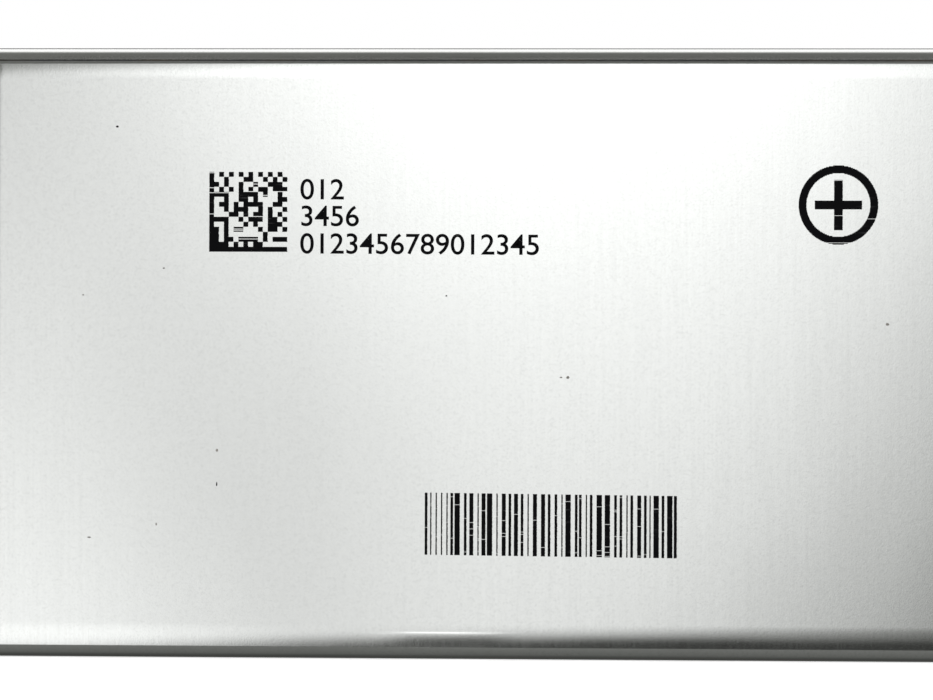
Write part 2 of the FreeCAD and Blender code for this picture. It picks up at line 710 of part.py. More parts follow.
def make_vent_guard():
    """Slotted plate under the vent that keeps the rolls from blocking it."""
    guard = new_body("vent_guard")
    outline = sketch_on(guard, "XY_Plane")
    rounded_rectangle(outline, S.guard_length, S.inner_width, S.inner_corner)
    pad(guard, outline, S.guard_thickness)
    slot = sketch_on(guard, "XY_Plane", S.guard_thickness)
    span = S.guard_pitch * (S.guard_slots - 1)
    slot_length = S.inner_width - S.guard_border - S.guard_border
    rounded_rectangle(slot, S.guard_slot, slot_length, S.inner_corner, x=-span / 2)
    first_slot = pocket(guard, slot, S.guard_thickness)
    repeat_along_x(guard, first_slot, S.guard_slots, S.guard_pitch)
    place(guard, z=lid_base - S.guard_thickness)
    return guard


# ---------------------------------------------------------------- current collectors


def make_collector(name, side):
    """Bent collector: a plate under the rivet and two legs down the rolls' foil stacks."""
    collector = new_body(f"{name}_collector")
    length = S.collector_inboard + S.collector_outboard
    middle = (S.collector_outboard - S.collector_inboard) / 2
    plate = sketch_on(collector, "XY_Plane")
    rounded_rectangle(plate, length, S.collector_width, S.collector_corner, x=middle)
    pad(collector, plate, S.collector_plate)
    legs = sketch_on(collector, "XY_Plane")
    leg_middle = S.roll_offset - S.foil_stack / 2 - S.leg_thickness / 2
    for sign in (1, -1):
        rectangle(
            legs,
            S.leg_width,
            S.leg_thickness,
            x=S.collector_outboard - S.leg_width / 2,
            y=leg_middle * sign,
        )
    pad(collector, legs, S.leg_drop, reverse=True)
    holes = sketch_on(collector, "XY_Plane", S.collector_plate)
    circle(holes, S.spigot + S.running_gap + S.running_gap)
    rectangle(holes, S.fuse_width, S.fuse_slot, x=S.rivet_flange / 2 + S.fuse_width / 2)
    pocket(collector, holes, S.collector_plate)
    rotation = HALF_TURN if side < 0 else None
    place(collector, x=S.terminal_offset * side, z=collector_base, rotation=rotation)
    return collector


def make_weld_clips(name, side):
    """Two thin plates that back the foil stacks where they are welded to the legs."""
    clips = []
    clip_width = S.leg_width - S.clip_inset - S.clip_inset
    for roll, roll_side in ROLLS:
        clip = doc.addObject("Part::Box", f"{name}_{roll}_clip")
        bind(clip, "Length", clip_width)
        bind(clip, "Width", S.clip_thickness)
        bind(clip, "Height", S.clip_height)
        near_face = (S.roll_offset + S.foil_stack / 2) * roll_side
        leg_end = S.terminal_offset + S.collector_outboard
        place(
            clip,
            x=(leg_end - S.leg_width / 2) * side - clip_width / 2,
            y=near_face if roll_side > 0 else near_face - S.clip_thickness,
            z=roll_middle - S.clip_height / 2,
        )
        clips.append(clip)
    pair = doc.addObject("Part::Compound", f"{name}_weld_clips")
    pair.Links = clips
    return pair


# ---------------------------------------------------------------- wound electrodes


def winding_edges(offset, runs):
    """A flattened spiral in the YZ plane: straight runs joined by half circles.

    Each straight run lies half a pitch further out than the one before it, on the other side.
    """
    pitch, core = S.winding_pitch.number, S.winding_core.number
    straight = (S.roll_height / 2 - roll_half_depth).number
    edges = []
    y = -(core + offset)
    for run in range(runs + 1):
        end = straight if run % 2 == 0 else -straight
        edges.append(Part.makeLine(Vector(0, y, -end), Vector(0, y, end)))
        if run == runs:
            break
        reach = core + offset + (run + 1) * pitch / 2
        next_y = reach if run % 2 == 0 else -reach
        middle, radius = (y + next_y) / 2, abs(next_y - y) / 2
        peak = end + math.copysign(radius, end)
        half_circle = Part.Arc(Vector(0, y, end), Vector(0, middle, peak), Vector(0, next_y, end))
        edges.append(half_circle.toShape())
        y = next_y
    return edges


def wound_sheet(offset, thickness, low_x, high_x, half_turns=S.winding_half_turns):
    """One wound sheet, from its inner spiral at offset to its outer spiral."""
    runs = int(half_turns.number)
    inner, outer = winding_edges(offset, runs), winding_edges(offset + thickness, runs)
    starts = inner[0].Vertexes[0].Point, outer[0].Vertexes[0].Point
    ends = inner[-1].Vertexes[-1].Point, outer[-1].Vertexes[-1].Point
    caps = [Part.makeLine(*starts), Part.makeLine(*ends)]
    wire = Part.Wire(Part.__sortEdges__(inner + outer + caps))
    sheet = Part.Face(wire)
    sheet.translate(Vector(low_x, 0, 0))
    return sheet.extrude(Vector(high_x - low_x, 0, 0))


def racetrack(x, half_depth, half_height):
    """Closed outline at x: two upright lines joined by half circles."""
    top = half_height - half_depth
    left = Part.makeLine(Vector(x, -half_depth, -top), Vector(x, -half_depth, top))
    over = Part.Arc(
        Vector(x, -half_depth, top), Vector(x, 0, half_height), Vector(x, half_depth, top)
    )
    right = Part.makeLine(Vector(x, half_depth, top), Vector(x, half_depth, -top))
    under = Part.Arc(
        Vector(x, half_depth, -top), Vector(x, 0, -half_height), Vector(x, -half_depth, -top)
    )
    return Part.Wire([left, over.toShape(), right, under.toShape()])


def gathered_foil(side):
    """Bare foil edges of all the turns, gathered and pressed flat for welding."""
    wound_half_height = (S.roll_height / 2 - S.foil_low_inset).number
    wound_half_depth = (S.roll_offset - S.foil_side_inset).number
    wound = racetrack(S.foil_start.number, wound_half_depth, wound_half_height)
    stack_half = S.foil_stack.number / 2
    stack_height = S.foil_stack_height.number / 2
    flat = racetrack(S.foil_gathered.number, stack_half, stack_height)
    end = racetrack(S.foil_end.number, stack_half, stack_height)
    stack = Part.makeLoft([wound, flat, end], True, True)
    return stack if side > 0 else stack.mirror(Vector(), Vector(1, 0, 0))


def make_roll(name, roll_side):
    """One jelly roll: cathode and anode sheets with a separator on each side of the cathode.

    The inner separator runs on for one more turn, and so wraps the outside of the roll.
    """
    step = S.winding_gap.number
    electrode, film = S.electrode_thickness.number, S.separator_thickness.number
    coated, bare = S.coated_reach.number, S.foil_start.number
    anode_coated = (S.coated_reach + S.anode_margin).number
    edge = S.separator_reach.number
    offset = 0.0
    sheets = {}
    sheets["inner_separator"] = [wound_sheet(offset, film, -edge, edge, S.wrap_half_turns)]
    offset += film + step
    sheets["cathode"] = [wound_sheet(offset, electrode, -coated, bare), gathered_foil(1)]
    offset += electrode + step
    sheets["outer_separator"] = [wound_sheet(offset, film, -edge, edge)]
    offset += film + step
    sheets["anode"] = [wound_sheet(offset, electrode, -bare, anode_coated), gathered_foil(-1)]
    for sheet, solids in sheets.items():
        piece = doc.addObject("Part::Feature", f"{name}_roll_{sheet}")
        piece.Shape = Part.makeCompound(solids)
        put_in_roll(piece, roll_side)
    make_roll_tape(name, roll_side)


def put_in_roll(piece, roll_side):
    """Lays a piece that was drawn round a roll's axis into the front or the rear roll."""
    rotation = UPSIDE_DOWN if roll_side > 0 else Rotation()
    middle = Vector(0, S.roll_offset.number * roll_side, roll_middle.number)
    piece.Placement = Placement(middle, rotation)


def make_roll_tape(name, roll_side):
    """Tape that holds down the outer end of the winding, on the roll's outer flat."""
    tape = doc.addObject("Part::Box", f"{name}_roll_tape")
    bind(tape, "Length", S.tape_length)
    bind(tape, "Width", S.tape_thickness)
    bind(tape, "Height", S.tape_width)
    face = (S.roll_offset + roll_half_depth) * roll_side
    place(
        tape,
        x=-S.tape_length / 2,
        y=face if roll_side > 0 else face - S.tape_thickness,
        z=roll_middle - S.tape_width * 2,
    )


# ---------------------------------------------------------------- insulation inside the can


def make_bag():
    """Thin plastic bag, open at the top, between the rolls and the can."""
    bag = new_body("insulating_bag")
    height = S.bag_top - bag_base
    corner = cavity_corner - S.bag_gap
    outline = sketch_on(bag, "XY_Plane")
    rounded_rectangle(outline, bag_width, bag_depth, corner)
    pad(bag, outline, height)
    mouth = sketch_on(bag, "XY_Plane", height)
    films = S.bag_film + S.bag_film
    rounded_rectangle(mouth, bag_width - films, bag_depth - films, corner - S.bag_film)
    hollow = pocket(bag, mouth, height - S.bag_film)
    outer_round = S.bottom_radius - S.can_wall - S.bag_gap
    floor_edges = edges_at(hollow, "Z", S.bag_film.number)
    inside = blend_edges(bag, "Fillet", floor_edges, outer_round - S.bag_film)
    blend_edges(bag, "Fillet", edges_at(inside, "Z", 0), outer_round)
    place(bag, z=bag_base)
    return bag


def make_support():
    """Slotted plate on the bag's floor that the rolls stand on."""
    support = new_body("bottom_support")
    margin = (S.bag_film + S.support_gap) * 2
    outline = sketch_on(support, "XY_Plane")
    rounded_rectangle(outline, bag_width - margin, bag_depth - margin, S.support_corner)
    pad(support, outline, S.support_thickness)
    slot = sketch_on(support, "XY_Plane", S.support_thickness)
    span = S.support_pitch * (S.support_slots - 1)
    rounded_rectangle(
        slot, S.support_slot_width, S.support_slot_length, S.support_slot_corner, x=-span / 2
    )
    first_slot = pocket(support, slot, S.support_thickness)
    repeat_along_x(support, first_slot, S.support_slots, S.support_pitch)
    place(support, z=bag_base + S.bag_film)
    return support


def make_end_retainer(name, side):
    """Ribbed plastic plate between the foil stacks and the end of the bag."""
    retainer = new_body(f"{name}_end_retainer")
    plate = sketch_on(retainer, "YZ_Plane")
    rounded_rectangle(plate, S.retainer_width, S.retainer_height, S.retainer_corner)
    pad(retainer, plate, S.retainer_plate)
    ribs = sketch_on(retainer, "YZ_Plane")
    rib_height = S.retainer_height - S.retainer_rib_margin - S.retainer_rib_margin
    outermost = S.retainer_width / 2 - S.retainer_rib_width
    for sign in (1, 0, -1):
        rectangle(ribs, S.retainer_rib_width, rib_height, x=outermost * sign)
    pad(retainer, ribs, S.retainer_rib, reverse=True)
    inner_face = bag_width / 2 - S.bag_film - S.loose_gap - S.retainer_plate
    rotation = HALF_TURN if side < 0 else None
    place(retainer, x=inner_face * side, z=roll_middle, rotation=rotation)
    return retainer


# ---------------------------------------------------------------- assembly and export


def make_cell():
    make_can()
    make_lid()
    make_vent_disc()
    make_vent_film()
    make_vent_guard()
    make_fill_plug()
    make_fill_cap()
    for name, side in MIRRORED_SIDES:
        make_terminal(name, side)
        make_terminal_frame(name, side)
        make_rivet(name, side)
        make_gasket(name, side)
        make_inner_insulator(name, side)
        make_collector(name, side)
        make_weld_clips(name, side)
        make_end_retainer(name, side)
    for name, roll_side in ROLLS:
        make_roll(name, roll_side)
    make_bag()
    make_support()
    doc.recompute()


def sub_parts():
    """The objects that are pieces of the cell: bodies, films, boxes and compounds."""
    kinds = ("PartDesign::Body", "Part::Feature", "Part::Compound", "Part::Box")
    grouped = {link.Name for o in doc.Objects if o.TypeId == "Part::Compound" for link in o.Links}
    return [o for o in doc.Objects if o.TypeId in kinds and o.Name not in grouped]


def check(pieces):
    for thing in doc.Objects:
        if {"Invalid", "Error"} & set(thing.State):
            raise SystemExit(f"{thing.Name} failed to recompute: {thing.State}")
    for piece in pieces:
        if piece.Shape.isNull() or not piece.Shape.isValid() or not piece.Shape.Solids:
            raise SystemExit(f"{piece.Label} has no valid solid")


def export(pieces):
    os.makedirs("parts", exist_ok=True)
    for piece in pieces:
        piece.Shape.exportStep(f"parts/{piece.Label}.step")
        print(f"{piece.Label:28} {len(piece.Shape.Solids)} solid(s) {piece.Shape.Volume:10.1f} mm3")


make_cell()
cell_pieces = sub_parts()
check(cell_pieces)
export(cell_pieces)
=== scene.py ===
import json
import math
import random

import bmesh
import bpy
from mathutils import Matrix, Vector, noise


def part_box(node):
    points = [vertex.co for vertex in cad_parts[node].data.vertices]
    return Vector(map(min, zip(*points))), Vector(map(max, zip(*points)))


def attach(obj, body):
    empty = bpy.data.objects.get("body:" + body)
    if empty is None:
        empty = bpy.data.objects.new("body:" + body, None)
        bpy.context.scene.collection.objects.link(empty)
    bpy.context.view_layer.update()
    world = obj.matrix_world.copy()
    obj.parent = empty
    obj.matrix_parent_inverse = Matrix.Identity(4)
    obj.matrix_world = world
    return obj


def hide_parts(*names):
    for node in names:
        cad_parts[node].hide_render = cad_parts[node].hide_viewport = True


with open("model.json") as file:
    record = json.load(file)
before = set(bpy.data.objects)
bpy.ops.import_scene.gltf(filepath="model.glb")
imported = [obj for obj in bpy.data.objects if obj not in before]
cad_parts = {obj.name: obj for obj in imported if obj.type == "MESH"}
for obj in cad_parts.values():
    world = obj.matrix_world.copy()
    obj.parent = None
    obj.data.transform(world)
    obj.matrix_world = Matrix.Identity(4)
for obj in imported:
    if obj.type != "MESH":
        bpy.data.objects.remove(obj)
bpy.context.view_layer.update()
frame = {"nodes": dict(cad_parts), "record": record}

MM = 0.001
UP = Vector((0, 0, 1))

# Where things are, from the CAD nodes.
can_low, can_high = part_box("can")
_, lid_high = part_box("lid_plate")
half_length = can_high.x
rim_y = lid_high.y
seam_z = can_high.z
crown = can_high.y - rim_y

# The can's shell.
CORNER = 3.0 * MM
WALL = 0.8 * MM
FLOOR = 1.2 * MM
INNER_ROUND = 1.2 * MM
BOTTOM_FOOT = 1.9 * MM  # underside up to the line where the rounding starts
BOTTOM_TILT = math.radians(14)  # how far the rounding already leans at that line
TOP_ROUND = 0.6 * MM
TOP_TURN = math.radians(60)  # how far the rounded top edge turns in towards the seam

# The large faces: a low crown inside a sloping border, slightly domed and wavy.
SIDE_FOOT = 3.0 * MM  # the can's end to the foot of the slope
SIDE_SLOPE, LOW_SLOPE, HIGH_SLOPE = 1.7 * MM, 3.5 * MM, 2.9 * MM  # widths of the slope
DOME = 0.03 * MM
WAVE = 0.010 * MM
BROAD_WAVES, SHORT_WAVES = (45, 38), (110, 60)  # waves per metre, along and up
INK_HEIGHT = 0.02 * MM
INK_ROOM = 0.03 * MM  # the crown is this much lower than the CAD's, so that the print fits its box

# How finely each rounded edge is divided.
CORNER_STEPS, BOTTOM_STEPS, TOP_STEPS = 10, 12, 7

# A shallow crease along the front's lower border, sharp above its line and gentle below it.
CREASE_X, CREASE_Z = -4.2 * MM, 4.02 * MM
CREASE_REACH, CREASE_ABOVE, CREASE_BELOW = 9.2 * MM, 0.16 * MM, 1.6 * MM
CREASE_HEIGHT = 0.045 * MM


# ---------------------------------------------------------------- pieces


def add_piece(name, points, faces, material, replaces=(), smooth=True):
    """A mesh piece of the cell, riding on its one body."""
    mesh = bpy.data.meshes.new(name)
    mesh.from_pydata(points, [], faces)
    mesh.validate()
    mesh.polygons.foreach_set("use_smooth", [smooth] * len(mesh.polygons))
    piece = bpy.data.objects.new(name, mesh)
    bpy.context.scene.collection.objects.link(piece)
    mesh.materials.append(material)
    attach(piece, "root")
    if replaces:
        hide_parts(*replaces)
    return piece


def grid_faces(rows, columns, wrap=False):
    """Quads between the points of neighbouring rows; wrap joins each row's ends."""
    faces = []
    for row in range(rows - 1):
        for column in range(columns if wrap else columns - 1):
            across = (column + 1) % columns
            low, high = row * columns, (row + 1) * columns
            faces.append((low + column, low + across, high + across, high + column))
    return faces


# ---------------------------------------------------------------- can


def slope(distance, width):
    """0 at the foot and 1 from width on: steepest at the foot, and level at the crest."""
    left = min(max(1 - distance / width, 0.0), 1.0)
    return 1 - left * left


def crease(x, z):
    """How far the crease in the front face's lower border stands proud."""
    aside, above = (x - CREASE_X) / CREASE_REACH, z - CREASE_Z
    above /= CREASE_ABOVE if above > 0 else CREASE_BELOW
    return CREASE_HEIGHT * max(0.0, 1 - aside**4) * math.exp(-above * above)


def face_rise(x, z, side):
    """How far a large face stands proud of the rim. side is -1 in front and 1 behind."""
    along = x / half_length
    upright = 2 * z / seam_z - 1
    border = slope(half_length - abs(x) - SIDE_FOOT, SIDE_SLOPE)
    border *= slope(z - BOTTOM_FOOT, LOW_SLOPE) * slope(seam_z - z, HIGH_SLOPE)
    dome = max(0.0, 1 - along * along) * max(0.0, 1 - upright * upright)
    wave = noise.noise(Vector((x * BROAD_WAVES[0], z * BROAD_WAVES[1], side * 3.7))) - 1
    wave += 0.5 * noise.noise(Vector((x * SHORT_WAVES[0], z * SHORT_WAVES[1], side * 9.1)))
    rise = border * (crown - INK_ROOM - DOME * (1 - dome) + WAVE * wave)
    return rise + crease(x, z) if side < 0 else rise


def spaced(low, high, fine, coarse, border):
    """Values from low to high: fine steps within each border, coarse ones between."""
    values = []
    runs = [
        (low, low + border, fine),
        (low + border, high - border, coarse),
        (high - border, high, fine),
    ]
    for start, end, step in runs:
        count = max(1, round((end - start) / step))
        values += [start + (end - start) * i / count for i in range(count)]
    return values + [high]


def can_outline():
    """Points round the rim with their outward directions, and the side each belongs to.

    The side is -1 in front, 1 behind, and 0 at the ends and corners.
    """
    straight_x, straight_y = half_length - CORNER, rim_y - CORNER
    along = spaced(
        -straight_x, straight_x, fine=0.35 * MM, coarse=2.4 * MM, border=3 * MM
    )
    across = spaced(
        -straight_y, straight_y, fine=0.3 * MM, coarse=2 * MM, border=0.9 * MM
    )
    quarter = [math.pi / 2 * i / CORNER_STEPS for i in range(1, CORNER_STEPS)]
    outline = []

    def add_corner(centre_x, centre_y, start):
        for turn in quarter:
            out = Vector((math.cos(start + turn), math.sin(start + turn), 0))
            outline.append((Vector((centre_x, centre_y, 0)) + out * CORNER, out, 0))

    outline += [(Vector((x, -rim_y, 0)), Vector((0, -1, 0)), -1) for x in along]
    add_corner(straight_x, -straight_y, -math.pi / 2)
    outline += [(Vector((half_length, y, 0)), Vector((1, 0, 0)), 0) for y in across]
    add_corner(straight_x, straight_y, 0)
    outline += [(Vector((x, rim_y, 0)), Vector((0, 1, 0)), 1) for x in reversed(along)]
    add_corner(-straight_x, straight_y, math.pi / 2)
    outline += [(Vector((-half_length, -y, 0)), Vector((-1, 0, 0)), 0) for y in across]
    add_corner(-straight_x, -straight_y, math.pi)
    return outline


def can_ring(outline, inset, z):
    """The outline at one height, moved in by inset and out by the crown."""
    ring = []
    for point, out, side in outline:
        rise = face_rise(point.x, z, side) if side else 0.0
        moved = point + out * (rise - inset)
        ring.append((moved.x, moved.y, z))
    return ring


def make_can(material):
    """The can as one closed shell: outside, rolled edges, rim, inside and both floors."""
    outline = can_outline()
    levels = spaced(
        BOTTOM_FOOT, seam_z - TOP_ROUND, fine=0.12 * MM, coarse=2.2 * MM, border=4 * MM
    )
    radius = BOTTOM_FOOT / (1 - math.sin(BOTTOM_TILT))
    rings = []
    for step in range(BOTTOM_STEPS):
        turn = math.pi / 2 + (BOTTOM_TILT - math.pi / 2) * step / BOTTOM_STEPS
        inset = radius * (math.cos(BOTTOM_TILT) - math.cos(turn))
        rings.append(can_ring(outline, inset, radius * (1 - math.sin(turn))))
    rings += [can_ring(outline, 0, z) for z in levels]
    for step in range(1, TOP_STEPS + 1):
        turn = TOP_TURN * step / TOP_STEPS
        inset = TOP_ROUND * (1 - math.cos(turn))
        rings.append(can_ring(outline, inset, seam_z - TOP_ROUND * (1 - math.sin(turn))))
    rings.append(can_ring(outline, WALL, seam_z))
    rings += [can_ring(outline, WALL, z) for z in reversed(levels) if z > FLOOR + INNER_ROUND]
    for step in range(BOTTOM_STEPS):
        turn = math.pi / 2 * step / (BOTTOM_STEPS - 1)
        inset = WALL + INNER_ROUND * (1 - math.cos(turn))
        rings.append(can_ring(outline, inset, FLOOR + INNER_ROUND * (1 - math.sin(turn))))
    points = [point for ring in rings for point in ring]
    count = len(outline)
    faces = grid_faces(len(rings), count, wrap=True)
    faces += floor_faces(outline, 0, flip=True)
    faces += floor_faces(outline, len(points) - count, flip=False)
    return add_piece("can_shell", points, faces, material, ["can"])


def floor_faces(outline, first, flip):
    """Fills a ring: strips from the front side to the rear, and one face at each end."""
    front = [i for i, (_, _, side) in enumerate(outline) if side < 0]
    rear = [i for i, (_, _, side) in enumerate(outline) if side > 0]
    rear.reverse()
    faces = []
    for step in range(len(front) - 1):
        faces.append((front[step], front[step + 1], rear[step + 1], rear[step]))
    faces.append(tuple(range(front[-1], rear[-1] + 1)))
    faces.append(tuple([*range(rear[0], len(outline)), front[0]]))
    faces = [tuple(first + i for i in face) for face in faces]
    return [tuple(reversed(face)) for face in faces] if flip else faces


# ---------------------------------------------------------------- lid

# The rim's profile from the seam up, as arcs: each one's lean at its end, and how far it rises.
RIM_LEAN = 13  # degrees, at the seam
RIM_ARCS = ((16, 0.45 * MM), (50, 0.82 * MM), (73, 0.42 * MM), (85, 0.2 * MM))
ARC_STEPS = 6
LIP = 0.05 * MM  # how far the rim's inner edge lies below its crest
MOUTH = 2.6 * MM  # outside of the rim to its inner edge
TUCK = 0.05 * MM  # how far the rim's inner wall turns back outwards at its foot
TUCK_HIGH, TUCK_LOW = 0.4 * MM, 0.3 * MM  # where it does so, above the seam
TRAY_TOP = 0.6 * MM  # where the tray's own rim ends above the seam, hidden in the smooth one
SEAM_ROOM = 0.01 * MM  # points this little below the seam still count as the tray's rim
MERGE = 0.001 * MM
FLAT = 0.9999  # a face that faces an axis this nearly is shaded flat


def rim_profile():
    """Insets and heights above the seam, up the outside of the lid's rim."""
    inset, height = 0.0, 0.0
    profile = [(inset, height)]
    lean = math.radians(RIM_LEAN)
    for end, rise in RIM_ARCS:
        end = math.radians(end)
        radius = rise / (math.sin(end) - math.sin(lean))
        for step in range(1, ARC_STEPS + 1):
            turn = lean + (end - lean) * step / ARC_STEPS
            along = inset + radius * (math.cos(lean) - math.cos(turn))
            profile.append((along, height + radius * (math.sin(turn) - math.sin(lean))))
        inset, height = profile[-1]
        lean = end
    return profile


def make_lid_rim(material):
    """The smooth rolled rim, closed underneath, that the can's edge is welded to."""
    outline = can_outline()
    profile = [(inset, seam_z + height) for inset, height in rim_profile()]
    top = profile[-1][1]
    profile += [
        (MOUTH, top - LIP),
        (MOUTH, seam_z + TUCK_HIGH),
        (MOUTH - TUCK, seam_z + TUCK_LOW),
        (WALL, seam_z),
    ]
    points = []
    for inset, z in profile:
        points += [tuple(point - out * inset + UP * z) for point, out, _ in outline]
    count = len(outline)
    faces = grid_faces(len(profile), count, wrap=True)
    last = len(points) - count
    for column in range(count):
        after = (column + 1) % count
        faces.append((last + column, last + after, after, column))
    rim = add_piece("lid_rim", points, faces, material)
    rim.data.set_sharp_from_angle(angle=math.radians(35))


def make_lid_tray(material):
    """The CAD's lid, with its own rim drawn in and down so that the smooth one covers it."""
    shell = bmesh.new()
    shell.from_mesh(frame["nodes"]["lid_plate"].data)
    reach_x, reach_y = half_length - WALL, rim_y - WALL
    for vertex in shell.verts:
        place = vertex.co
        if place.z > seam_z - SEAM_ROOM:
            place.x = min(max(place.x, -reach_x), reach_x)
            place.y = min(max(place.y, -reach_y), reach_y)
            place.z = min(place.z, seam_z + TRAY_TOP)
    bmesh.ops.remove_doubles(shell, verts=shell.verts, dist=MERGE)
    bmesh.ops.dissolve_degenerate(shell, edges=shell.edges, dist=MERGE)
    shell.verts.index_update()
    points = [tuple(vertex.co) for vertex in shell.verts]
    faces = [[vertex.index for vertex in face.verts] for face in shell.faces]
    shell.free()
    tray = add_piece("lid_tray", points, faces, material, ["lid_plate"])
    tray.data.set_sharp_from_angle(angle=math.radians(30))
    for face in tray.data.polygons:
        face.use_smooth = max(abs(part) for part in face.normal) <= FLAT


# ---------------------------------------------------------------- weld beads

BEAD_STEPS = 10  # round a bead's section
BEAD_SINK = 0.4  # how far a bead's middle lies under the surface, as a share of its height
RIPPLE_DEPTH = 0.35  # how deep the ripples go, as a share of the height
WANDER = 0.12  # how far the height and the width wander, as a share of each
WANDERS = 900  # per metre
RING_STEP = 0.12 * MM
RIVET_HEAD = 4.7 * MM  # radius


def make_bead(name, stations, half_width, height, pitch, material):
    """A weld bead along a closed path, with fish-scale ripples.

    Each station is a point on the seam, the way out of the surface and the way across the seam.
    The half width and the height count from the bead's middle.
    """
    profile = [2 * math.pi * i / BEAD_STEPS for i in range(BEAD_STEPS)]
    points = []
    travelled = 0.0
    before = stations[0][0]
    for point, out, across in stations:
        travelled += (point - before).length
        before = point
        ripple = 1 - RIPPLE_DEPTH * abs(math.sin(math.pi * travelled / pitch))
        wander = WANDER * noise.noise(point * WANDERS)
        for turn in profile:
            reach = math.sin(turn) * height * (ripple + wander) - height * BEAD_SINK
            aside = math.cos(turn) * half_width * (1 + wander)
            points.append(point + out * reach + across * aside)
    columns, rows = len(profile), len(stations)
    faces = []
    for row in range(rows):
        near, far = row * columns, (row + 1) % rows * columns
        for column in range(columns):
            after = (column + 1) % columns
            faces.append((near + column, near + after, far + after, far + column))
    return add_piece(name, points, faces, material)


def rim_stations(step, inset, drop):
    """Closely spaced bead stations round the can's rim, inset from it and below the seam."""
    stations = []
    outline = can_outline()
    for index, (point, out, _) in enumerate(outline):
        after, next_out, _ = outline[(index + 1) % len(outline)]
        count = max(1, round((after - point).length / step))
        for part in range(count):
            direction = out.lerp(next_out, part / count).normalized()
            place = point.lerp(after, part / count) - direction * inset + UP * (seam_z - drop)
            stations.append((place, direction, UP))
    return stations


def ring_stations(x, z, radius, count):
    """Bead stations round a circle on a surface that faces up."""
    stations = []
    for step in range(count):
        turn = 2 * math.pi * step / count
        away = Vector((math.cos(turn), math.sin(turn), 0))
        stations.append((Vector((x, 0, z)) + away * radius, UP, -away))
    return stations


def add_ring_weld(node, margin, material):
    """The laser weld round a cap or a rivet's head."""
    low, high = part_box(node)
    radius = (high.x - low.x) / 2 if node == "fill_cap" else RIVET_HEAD
    middle = (low.x + high.x) / 2
    count = round(2 * math.pi * radius / RING_STEP)
    stations = ring_stations(middle, high.z, radius + margin, count)
    half_width, height, pitch = 0.3 * MM, 0.06 * MM, 0.35 * MM
    name = node + "_weld"
    make_bead(name, stations, half_width, height, pitch, material)


# ---------------------------------------------------------------- print

DIGIT_WIDTH = 1.035  # how much wider the digits are than the built-in font's
DIGIT_WEIGHT = 0.028 * MM  # how much the strokes are thickened on each side
CAP_SHARE = 0.7  # the built-in font's digits are this much of its size
PRINT_ROW = 0.118 * MM  # one pass of the print head
SKIP_CHANCE = 0.02  # how often the print head leaves a thin gap
BAR_MODULE = 0.2 * MM

# Stray ink and flat grey specks on the front face: x and z to the nearest millimetre, then half
# width and half height in millimetres. The grey specks at 62, 50 and at 14 to 15, 42 are painted
# shade: the dark side of tiny dents that have no relief here.
INK_SPECKS = ((-52, 79, 0.2, 0.15), (-37, 26, 0.1, 0.3), (-3, 54, 0.15, 0.1))
GREY_SPECKS = (
    (62, 50, 0.25, 0.2), (15, 42, 0.25, 0.2), (14, 42, 0.2, 0.1), (-37, 31, 0.2, 0.2),
    (-57, 54, 0.15, 0.1), (-46, 20, 0.1, 0.2), (-45, 58, 0.2, 0.1), (-56, 18, 0.3, 0.1),
)


def face_y(x, z):
    """The front face's surface."""
    return -rim_y - face_rise(x, z, -1)


def ink_strips(name, strips, material):
    """Print on the front face, as thin solid strips (low x, high x, low z, high z)."""
    points, faces = [], []
    for low_x, high_x, low_z, high_z in strips:
        first = len(points)
        for lift in (-INK_HEIGHT, INK_HEIGHT):
            for x, z in ((low_x, low_z), (high_x, low_z), (high_x, high_z), (low_x, high_z)):
                points.append((x, face_y(x, z) - lift, z))
        box = [(3, 2, 1, 0), (4, 5, 6, 7), (0, 1, 5, 4), (1, 2, 6, 5), (2, 3, 7, 6), (3, 0, 4, 7)]
        faces += [tuple(first + i for i in face) for face in box]
    return add_piece(name, points, faces, material, smooth=False)


def dark_runs(dark):
    """The starts and ends of the dark runs in a row of cells."""
    edges = [i for i, (a, b) in enumerate(zip([False, *dark], [*dark, False])) if a != b]
    return list(zip(edges[::2], edges[1::2]))


def printed_strip(left, right, low, high, draw, ragged):
    """One strip of print, with ragged ends, and now and then with a thin gap."""
    if draw.random() < SKIP_CHANCE:
        low = (low + high) / 2
    left += draw.uniform(-0.4, 0.4) * ragged
    right += draw.uniform(-1, 1) * ragged
    return left, right, low, high


def make_square_code(low_x, low_z, width, height, material):
    """A square of made-up dark and light modules. It carries no data."""
    draw = random.Random(11)
    count, passes = 16, 4
    stay_dark, turn_dark = 0.48, 0.56  # chances, from one module to the next
    across, up = width / count, height / count
    strips = []
    for row in range(count):
        dark = [True]
        while len(dark) < count - 1:
            dark.append(draw.random() < (stay_dark if dark[-1] else turn_dark))
        dark.append(row % 2 == 0)
        if row == 0:
            dark = [True] * count
        if row == count - 1:
            dark = [column % 2 == 0 for column in range(count)]
        for part in range(row * passes, (row + 1) * passes):
            low, high = low_z + part * up / passes, low_z + (part + 1) * up / passes
            for start, end in dark_runs(dark):
                left, right = low_x + start * across, low_x + end * across
                strips.append(printed_strip(left, right, low, high, draw, 0.03 * MM))
    return ink_strips("print_square_code", strips, material)


def make_bars(low_x, low_z, width, height, fall, material):
    """Made-up bars of one to four modules. They carry no data. fall is how steeply they sink."""
    draw = random.Random(7)
    bars, gaps = (1, 1, 2, 2, 3, 4), (1, 2, 2, 3, 3)  # widths in modules
    rows = round(height / PRINT_ROW)
    strips = []
    x = low_x
    while x < low_x + width:
        bar = min(draw.choice(bars) * BAR_MODULE, low_x + width - x)
        base = low_z - fall * (x - low_x)
        for row in range(rows):
            low = base + row * PRINT_ROW
            strips.append(printed_strip(x, x + bar, low, low + PRINT_ROW, draw, 0.028 * MM))
        x += bar + draw.choice(gaps) * BAR_MODULE
    return ink_strips("print_bars", strips, material)


